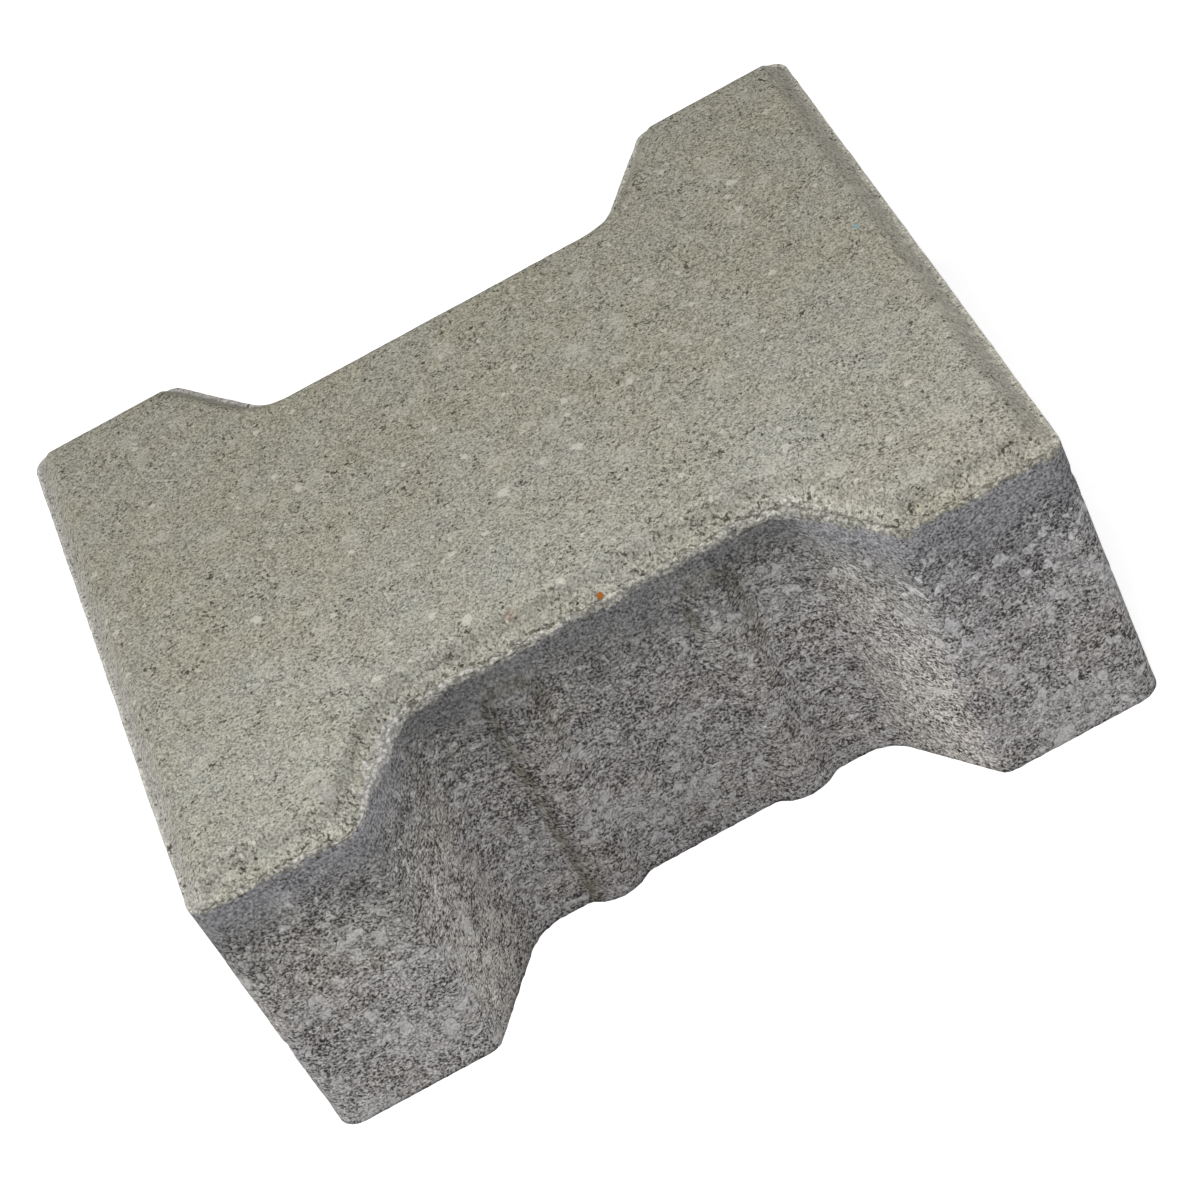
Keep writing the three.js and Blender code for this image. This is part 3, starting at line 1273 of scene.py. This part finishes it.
@dataclass
class WearingFace:
    """Nodes of the sandy surface: grain, pores, pale grains, the lip, its crumbs and its crack."""

    at: Surface
    finish: SandFinish

    def __post_init__(self) -> None:
        """Adds the noises and shares that several of the surface's features use."""
        at, sheet = self.at, self.at.sheet
        self.fine = sheet.noise(self.finish.fine_noise)
        self.tear = sheet.noise(self.finish.tear_noise)
        self.shade = sheet.cells(*self.finish.grain_cells)[1]
        self.worn = at.along.window((1.2, 3.0), (8.5, 4.0)) * at.wear
        self.scuff = at.recess.window((0.0, 0.15), (1.0, 0.88)) * at.wear
        self.broad = at.recess * 1.6

    def sand(self) -> Paint:
        """Adds the sand of the wearing face and the shoulder, its tone a product of many tones,
        with painted light toward the near side and in bands across the worn shoulder.

        Returns:
            The colour.
        """
        at, sheet, finish = self.at, self.at.sheet, self.finish
        clouds = sheet.noise(finish.cloud_noise)
        # Clouds vary the colour at random, and toward the near side it is painted cooler with the
        # painted light there.
        cool = clouds.eased(0.36, 0.66, 0.0, 0.6) + at.y.eased(20.0, -60.0, 0.0, 0.6)
        colour = sheet.blend(cool, finish.sand, finish.cool_sand)

        clumps = sheet.noise(finish.clump_noise)
        grain = self.fine.linear(0.34, 1.66) * clumps.linear(0.92, 1.08)
        grain = grain * clouds.linear(0.97, 1.03) * self.shade.between(0.70, 1.30)
        # Painted light: the wearing face is painted brighter toward the near side.
        near_side_light = at.y.eased(0.0, -55.0, 1.01, 1.085)
        right_end = at.wear.between(at.x.eased(86.0, 91.5, 1.0, 1.035), 1.0)
        torn = (self.scuff * -0.6 + self.worn).between(1.0, self.tear.linear(0.90, 1.10, 0.3, 0.7))
        tone = grain.softened(1.08, 0.45) * at.wear.between(1.0, self.shoulder_light_bands())
        colour = colour.shaded(tone * near_side_light * right_end * torn)

        right_corner = at.x.eased(50.0, 80.0) * at.y.eased(-40.0, -68.0)
        return colour.shaded(finish.sandy_shade, right_corner)

    def shoulder_light_bands(self) -> Value:
        """Adds painted light and shade in bands across the worn shoulder: a lighter ledge, a darker
        slope and a bright crown.

        Returns:
            Their tone.
        """
        waist = self.at.recess.eased(0.85, 1.0)
        place = self.at.along + (self.at.sheet.noise(self.finish.band_noise) * 4.6 - 2.3)
        # Painted light on the ledge, painted shade on the slope that faces the near side, painted
        # highlight on the crown.
        ledge = waist * -0.07 + (self.scuff * 0.06 + 1.045)
        slope = waist * -0.11 + 0.81
        crown = waist * 0.20 + 1.25
        on_slope = place.eased(4.9, 7.8)
        on_crown = (waist * -0.5 + place).eased(8.3, 11.2)
        return on_slope.between(ledge, slope) * on_crown.between(1.0, crown)

    def pasted(self, colour: Paint) -> Paint:
        """Lays the sound lip's pale paste over a colour.

        Args:
            colour: What lies below.

        Returns:
            The new colour.
        """
        at, sheet = self.at, self.at.sheet
        sound = at.ragged.eased(9.0, 2.5) * at.wear.between(1.0, 0.0)
        tone = self.fine.linear(0.45, 1.55) * at.ragged.eased(0.8, 4.4, 1.34, 1.02)
        tone = tone * self.shade.between(0.82, 1.18) * at.x.eased(86.0, 94.5, 1.02, 1.06)
        to_right = at.x.eased(-30.0, 50.0)
        paste = sheet.blend(to_right, self.finish.lip_paste, self.finish.sandy_paste)
        return colour.covered(sound, paste.shaded(tone))

    def pores(self) -> tuple[Value, Value]:
        """Adds the dark pores, where a noise and the noise of their common clusters sink low.

        Returns:
            Shares of the fine pores and of the deep ones.
        """
        sheet, finish = self.at.sheet, self.finish
        cluster = sheet.noise(finish.cluster_noise) * 0.25 - 0.125
        fine = self.worn * -0.02 + (sheet.noise(finish.pore_noise) + cluster)
        deep = self.worn * -0.03 + (sheet.noise(finish.deep_noise) + cluster)
        return fine.eased(0.376, 0.335), deep.eased(0.326, 0.300)

    def crumbly(self, colour: Paint) -> Paint:
        """Lays the worn lip's pale crumbs over a colour, with dark seams between its chunks.

        Args:
            colour: What lies below.

        Returns:
            The new colour.
        """
        at, sheet, finish = self.at, self.at.sheet, self.finish
        reach = self.scuff * 2.1 + (sheet.noise(finish.rim_noise) * 5.0 - 1.1)
        rim = (reach + self.broad - at.ragged).eased(-0.8, 0.5)

        crumbs = (self.scuff * 0.19 + sheet.noise(finish.crumb_noise)).eased(0.42, 0.50)
        white = at.x.eased(52.0, 36.0, 0.22, 1.0) * at.x.eased(-75.0, -56.0, 0.7, 1.0)
        share = crumbs * rim * at.wear * (white * (self.scuff * 0.35 + 0.60))
        crumb = sheet.blend(1.0, finish.crumb, self.fine.linear(0.68, 1.32), "MULTIPLY")
        colour = colour.covered(share, crumb)

        from_middle = sheet.cells(*finish.chunk_cells)[0]
        seam = (rim * at.wear).between(1.0, from_middle.eased(0.40, 0.68, 1.16, 0.62))
        brink = at.wear.between(1.0, at.along.eased(0.2, 1.5, 0.68, 1.0))
        return colour.shaded(seam * brink)

    def crack(self) -> Value:
        """Adds the dark crack that wanders between the crumbly lip and the shoulder.

        Returns:
            Its share.
        """
        sheet, finish = self.at.sheet, self.finish
        path = sheet.noise(finish.crack_noise) * 4.0 - 0.1 + self.broad
        path = (self.tear - 0.5) * 1.8 + path
        width = sheet.noise(finish.width_noise).linear(-0.10, 0.70, 0.34, 0.62)
        gap = (abs(self.at.ragged - path) - width).eased(0.10, -0.10)
        return gap * (self.scuff * -0.75 + self.at.wear)

    def build(self) -> tuple[Paint, Value]:
        """Adds the whole surface.

        Returns:
            The colour, and the bump height in millimetres.
        """
        sheet, finish = self.at.sheet, self.finish
        colour = self.pasted(self.sand())
        pores, deep = self.pores()
        colour = colour.covered(pores * finish.pore_share, finish.pore)
        colour = colour.covered(deep * finish.deep_pore_share, finish.pore)
        unworn = self.worn.between(1.0, 0.2)
        for spots in finish.pale_spots:
            colour = colour.covered(spots.cover(sheet) * unworn, finish.pale_grain)
        colour = self.crumbly(colour)
        colour = colour.covered(self.crack() * finish.crack_share, finish.pore)
        for speck in finish.specks:
            colour = colour.covered(speck.cover(sheet), speck.colour)

        torn = self.at.along.eased(7.5, 3.5) * self.at.wear * 0.6
        height = self.tear * torn + (deep * -0.35 + self.fine * 0.3)
        return colour, height


@dataclass
class MouldFace:
    """Nodes of the walls: paste, backing, pale patches, painted light and shade by place, painted
    shade beside the ribs, and crevices.
    """

    at: Surface
    finish: MouldFinish

    def __post_init__(self) -> None:
        """Adds the noises and shares that several of the surface's features use."""
        at, sheet, finish = self.at, self.at.sheet, self.finish
        below = sheet.noise(finish.sway_noise) * 30.0 - 15.0 - at.along
        self.openness = below.eased(3.0, 14.0)
        self.backing_share = (at.recess * 5.0 + below).eased(8.0, 40.0)
        self.rough = sheet.noise(finish.rough_noise)
        self.grit = sheet.noise(finish.grit_noise)
        self.zone = sheet.noise(finish.zone_noise).eased(0.50, 0.64)
        patch = (self.zone * 0.06 + sheet.noise(finish.patch_noise)).eased(0.59, 0.64)
        self.patch = patch * self.openness
        self.depth = self.openness.between(0.66, 1.0) * self.patch.between(1.0, 0.45)
        self.slopes = at.recess.window((0.0, 0.2), (1.0, 0.8))
        self.right_slope = self.slopes * at.x.above(0.0)

    def concrete(self) -> Paint:
        """Adds paste and backing, with pale patches where the paste has filled the backing.

        Returns:
            The colour.
        """
        at, sheet, finish = self.at, self.at.sheet, self.finish
        brown = (sheet.noise(finish.brown_noise) + at.rib * 0.16).eased(0.46, 0.70)
        backing = sheet.blend(brown, finish.backing, finish.brown_backing)
        colour = sheet.blend(self.backing_share, finish.paste, backing)
        paled = self.zone * self.openness * 0.3 + self.patch * 0.55
        return colour.covered(paled.at_most(0.7), finish.pale_patch)

    def grain(self) -> Value:
        """Adds the open texture: its hills and hollows, its grains and its slow clouds.

        Returns:
            Their tone.
        """
        sheet, finish = self.at.sheet, self.finish
        from_middle, shade = sheet.cells(*finish.grain_cells)
        contrast = self.rough * 1.8 - 0.86
        tone = (contrast * self.depth + 1.0).at_least(0.2)
        tone = tone * sheet.noise(finish.slow_noise).linear(0.92, 1.08)
        speckle = self.grit.linear(0.48, 1.44, 0.32, 0.66) * shade.between(0.80, 1.20)
        speckle = speckle * from_middle.eased(0.45, 0.75).between(1.05, 0.70)
        calm = self.zone * 0.12 + self.patch * 0.35
        tone = (tone * calm.between(speckle, 1.0)).softened(1.12, 0.40)
        return tone * self.openness.between(1.035, 1.115)

    def places(self) -> Value:
        """Adds the painted light and shade of the walls: stretches painted lighter or darker as
        light falls on them.

        Returns:
            Their tone, the product of one tone for each stretch.
        """
        at = self.at
        # Painted shade in the nooks beside the waist fillets at the top of the wall, and under the
        # lip along the recess.
        nook_shade = abs(at.x).window((12.0, 34.0), (50.0, 42.0)) * at.along.eased(-16.0, -6.0)
        under_lip_shade = at.along.eased(-14.0, -5.0) * at.recess
        # Painted light on the slopes towards the flanges, painted shade along the foot of the left
        # slope, and painted light and shade down the right slope.
        flared = self.slopes * at.along.eased(-28.0, -44.0).at_least(at.x.under(0.0))
        flare = abs(at.x).eased(47.0, 58.0, 0.97, 1.14)
        left_slope = self.slopes * at.x.under(0.0)
        left_foot = at.along.eased(-68.0, -74.0, 1.0, 0.78)
        down_right = at.along.eased(-6.0, -13.0, 1.26, 1.03)
        down_right = down_right * at.along.eased(-24.0, -42.0, 1.0, 1.21)
        # Painted light on the upper wall at the right end and on the lower right part of the waist.
        right_end = at.x.eased(50.0, 65.0)
        up_end = at.along.eased(-32.0, -22.0, 1.0, 1.055)
        lit = at.x.eased(10.0, 36.0) * at.along.eased(-18.0, -32.0) * at.recess.eased(0.8, 1.0)

        tone = nook_shade.between(1.0, 0.88) * under_lip_shade.between(1.0, 0.90)
        tone = tone * flared.between(1.0, flare) * left_slope.between(1.0, left_foot)
        tone = tone * self.right_slope.between(1.05, down_right)
        return tone * right_end.between(1.0, up_end) * lit.between(1.0, 1.14)

    def warmed_and_shaded(self, colour: Paint) -> Paint:
        """Tints a colour warmer in some stretches, and paints shade over the recess and along the
        flanks of the ribs.

        Args:
            colour: What is shaded.

        Returns:
            The new colour.
        """
        at, sheet, finish = self.at, self.at.sheet, self.finish
        upper_flange = at.along.window((-4.0, -11.0), (-42.0, -28.0)) * at.x.eased(63.0, 57.0)
        upper_flange = upper_flange * at.recess.eased(1.0, 0.8)
        lower_slopes = self.slopes * at.along.eased(-28.0, -44.0)
        colour = colour.shaded(finish.warm_shade, upper_flange.at_least(lower_slopes))

        # Painted shade over the recess, a little darker and less blue at its top.
        upper = at.along.eased(-40.0, -12.0)
        shade = sheet.blend(upper, finish.lower_recess_shade, finish.upper_recess_shade)
        colour = colour.shaded(shade, at.recess.eased(0.55, 1.0))

        # Painted shade along the flanks of the ribs, strongest near the top and down the whole
        # outer flank of the left rib, broken up by a noise.
        flank = at.rib.window((0.0, 0.22), (0.88, 0.48)) * at.recess.eased(0.9, 1.0)
        reach = at.along.eased(-38.0, -14.0, 0.0, 0.75).at_least(at.x.eased(-24.5, -26.5))
        flank_shade_breakup = sheet.noise(finish.flank_shade_noise).linear(0.3, 1.1, 0.38, 0.60)
        return colour.shaded(finish.rib_shade, flank * reach * flank_shade_breakup)

    def pits(self, crevice: Value) -> Value:
        """Share of the dark pits, where a weighted sum of noises and places sinks low enough.

        Args:
            crevice: The narrowest of the noises.

        Returns:
            The share, weaker where the grit stands high.
        """
        at = self.at
        level = self.rough * 0.24 + crevice
        level = self.at.sheet.noise(self.finish.cluster_noise) * 0.32 + level
        for share, weight in (
            (self.zone, 0.04),
            (at.hollow, -0.05),
            (at.recess, 0.004),
            (self.right_slope, 0.016),
        ):
            level = share * weight + level
        closed = self.depth.linear(0.12, 0.0, 0.5, 1.0)
        foot = at.recess.between(at.along.eased(-50.0, -66.0, 0.0, 0.012), 0.0)
        return (level + closed + foot).eased(0.781, 0.733) * self.grit.eased(0.60, 0.45, 0.30, 1.0)

    def build(self) -> tuple[Paint, Value]:
        """Adds the whole surface.

        Returns:
            The colour, and the bump height in millimetres.
        """
        sheet, finish = self.at.sheet, self.finish
        grain = self.grain()
        bleach = grain.eased(1.0, 1.35, 0.0, 0.65) * self.backing_share
        colour = self.concrete().covered(bleach, finish.bleached)
        # The grain's tone times the painted light and shade of the walls, then the warm tint and
        # the painted shade.
        colour = self.warmed_and_shaded(colour.shaded(grain * self.places()))
        crevice = sheet.noise(finish.crevice_noise)
        colour = colour.covered(self.pits(crevice) * finish.pit_share, finish.pit)

        hills = self.grit * 0.45 + (self.rough + sheet.noise(finish.lump_noise) * 0.45)
        return colour, (crevice * 1.2 + hills) * self.depth


@dataclass(frozen=True)
class PressedConcrete:
    """Finish of the stone: a sandy wearing face over walls of paste and open backing."""

    sand: SandFinish = SandFinish()
    mould: MouldFinish = MouldFinish()
    border: Pair = (-0.45, -0.15)
    roughness: float = 0.95
    specular: float = 0.2

    def material(self) -> bpy.types.Material:
        """Builds the material, in which the wearing face's surface gives way to the walls'.

        Returns:
            The finished material.
        """
        material = bpy.data.materials.new("pressed_concrete")
        sheet = NodeSheet(material)
        at = Surface(sheet)
        both = sheet.add("ShaderNodeMixShader", Fac=at.ragged.eased(*self.border))
        faces = (MouldFace(at, self.mould), WearingFace(at, self.sand))
        for socket, face in zip(both.inputs[1:], faces):
            sheet.feed(socket, self.shader(sheet, *face.build()))
        sheet.add("ShaderNodeOutputMaterial", Surface=both.outputs[0])
        return material

    def shader(self, sheet: NodeSheet, colour: Paint, height: Value) -> bpy.types.NodeSocket:
        """Adds dry stone's shader.

        Args:
            sheet: The node sheet.
            colour: Base colour.
            height: Bump height in millimetres.

        Returns:
            The shader's output.
        """
        bump = sheet.add("ShaderNodeBump", Height=height, Distance=1.0 * MM, Strength=1.0)
        node = sheet.add("ShaderNodeBsdfPrincipled", Base_Color=colour, Normal=bump.outputs[0])
        node.inputs["Roughness"].default_value = self.roughness
        node.inputs["Specular IOR Level"].default_value = self.specular
        return node.outputs[0]


# --- Studio ---------------------------------------------------------------------------------------


class Lamp(Enum):
    """Softboxes of the studio: place, side length and power, in metres and watts."""

    FRONT = ((0.0, -0.30, 0.50), 0.25, 1.82)
    LEFT = ((-1.05, -0.10, 0.60), 0.65, 6.2)
    RIGHT = ((1.10, -0.10, 0.45), 0.70, 2.5)


@dataclass
class Studio:
    """Pale floor, soft light and the camera."""

    target: Triple = (0.00246, -0.01556, 0.040)
    distance: float = 0.7718
    azimuth: float = 0.606
    elevation: float = 41.744
    roll: float = 28.81
    lens: float = 106.394
    sensor: float = 36.0
    floor_size: float = 6.0
    floor_colour: Colour = (0.82, 0.82, 0.82, 1.0)
    floor_glow: float = 0.66
    glow_reach: Pair = (0.5, 1.5)
    sky_strength: float = 0.14

    def camera(self) -> bpy.types.Object:
        """Camera that looks at the target from its azimuth and elevation, rolled about its axis.

        Returns:
            The camera, made the scene's own.
        """
        azimuth = math.radians(self.azimuth)
        elevation = math.radians(self.elevation)
        back = Vector(
            (
                math.sin(azimuth) * math.cos(elevation),
                -math.cos(azimuth) * math.cos(elevation),
                math.sin(elevation),
            )
        )
        data = bpy.data.cameras.new("camera")
        data.lens = self.lens
        data.sensor_width = self.sensor
        place = Vector(self.target) + back * self.distance
        camera = self.aimed(data, place, math.radians(self.roll))
        bpy.context.scene.camera = camera
        return camera

    def lamp(self, lamp: Lamp) -> bpy.types.Object:
        """Square softbox aimed at the target.

        Args:
            lamp: Which of the softboxes.

        Returns:
            The lamp's object.
        """
        place, side, power = lamp.value
        data = bpy.data.lights.new(lamp.name.lower(), "AREA")
        data.size = side
        data.energy = power
        return self.aimed(data, Vector(place))

    def aimed(self, data: bpy.types.ID, place: Vector, roll: float = 0.0) -> bpy.types.Object:
        """Object at a place that looks at the target.

        Args:
            data: The camera or light.
            place: Where it stands.
            roll: Clockwise turn about its axis, in radians.

        Returns:
            The object, linked to the scene.
        """
        made = linked(data)
        made.location = place
        made.rotation_mode = "QUATERNION"
        level = (Vector(self.target) - place).to_track_quat("-Z", "Y")
        made.rotation_quaternion = level @ Quaternion((0.0, 0.0, 1.0), -roll)
        return made

    def sky(self) -> None:
        """World that lights softly, and is white where the camera or a gloss sees it."""
        world = bpy.data.worlds.new("studio_sky")
        sheet = NodeSheet(world)
        strength = self.seen(sheet).between(self.sky_strength, 1.0)
        background = sheet.add("ShaderNodeBackground", Color=grey(1.0), Strength=strength)
        sheet.add("ShaderNodeOutputWorld", Surface=background.outputs[0])
        bpy.context.scene.world = world

    def seen(self, sheet: NodeSheet) -> Value:
        """Tells rays that see the sky or the floor from those that only gather its light.

        Args:
            sheet: The node sheet.

        Returns:
            1 for a camera, glossy or clear ray, else 0.
        """
        path = sheet.add("ShaderNodeLightPath")
        kinds = ("Is Glossy Ray", "Is Transmission Ray", "Is Camera Ray")
        glossy, clear, camera = (Value(sheet, path.outputs[kind]) for kind in kinds)
        return glossy.at_least(clear).at_least(camera)

    def floor(self) -> bpy.types.Object:
        """Pale floor that keeps the stone's shadow and lifts to white where the camera sees it.

        Returns:
            The floor's object.
        """
        half = self.floor_size / 2
        corners = [(-half, -half, 0.0), (half, -half, 0.0), (half, half, 0.0), (-half, half, 0.0)]
        mesh = bpy.data.meshes.new("floor")
        mesh.from_pydata(corners, [], [(0, 1, 2, 3)])
        floor = linked(mesh)

        material = bpy.data.materials.new("pale_floor")
        sheet = NodeSheet(material)
        diffuse = sheet.add("ShaderNodeBsdfDiffuse", Color=self.floor_colour)
        away = sheet.add("ShaderNodeVectorMath", Vector=sheet.coordinates())
        away.operation = "LENGTH"
        away = Value(sheet, away.outputs["Value"])
        spread = away.eased(*self.glow_reach, self.floor_glow, 1.0)
        glow = sheet.add("ShaderNodeEmission", Strength=self.seen(sheet) * spread)
        both = sheet.add("ShaderNodeAddShader")
        for socket, node in zip(both.inputs, (diffuse, glow)):
            sheet.feed(socket, node.outputs[0])
        sheet.add("ShaderNodeOutputMaterial", Surface=both.outputs[0])
        mesh.materials.append(material)
        return floor

    def build(self) -> None:
        """Makes the camera, the lamps, the sky and the floor."""
        self.camera()
        for lamp in Lamp:
            self.lamp(lamp)
        self.sky()
        self.floor()
        bpy.context.scene.view_settings.view_transform = "Standard"


# --- Scene ----------------------------------------------------------------------------------------


def main() -> None:
    """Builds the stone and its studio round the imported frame."""
    logging.basicConfig(level=logging.INFO, format="%(name)s: %(message)s")
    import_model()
    low, high = (np.array(corner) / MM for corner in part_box(NODE))
    length, width, height = high - low

    stone = PavingStone(length, width, height).build()
    stone.data.materials.append(PressedConcrete().material())
    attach(stone, BODY)
    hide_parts(NODE)
    log.info("stone: %d points, %d triangles", len(stone.data.vertices), len(stone.data.polygons))

    Studio().build()
    log.info("studio: camera, %d softboxes, sky and floor", len(Lamp))

    bpy.context.view_layer.update()


if __name__ == "__main__":
    main()
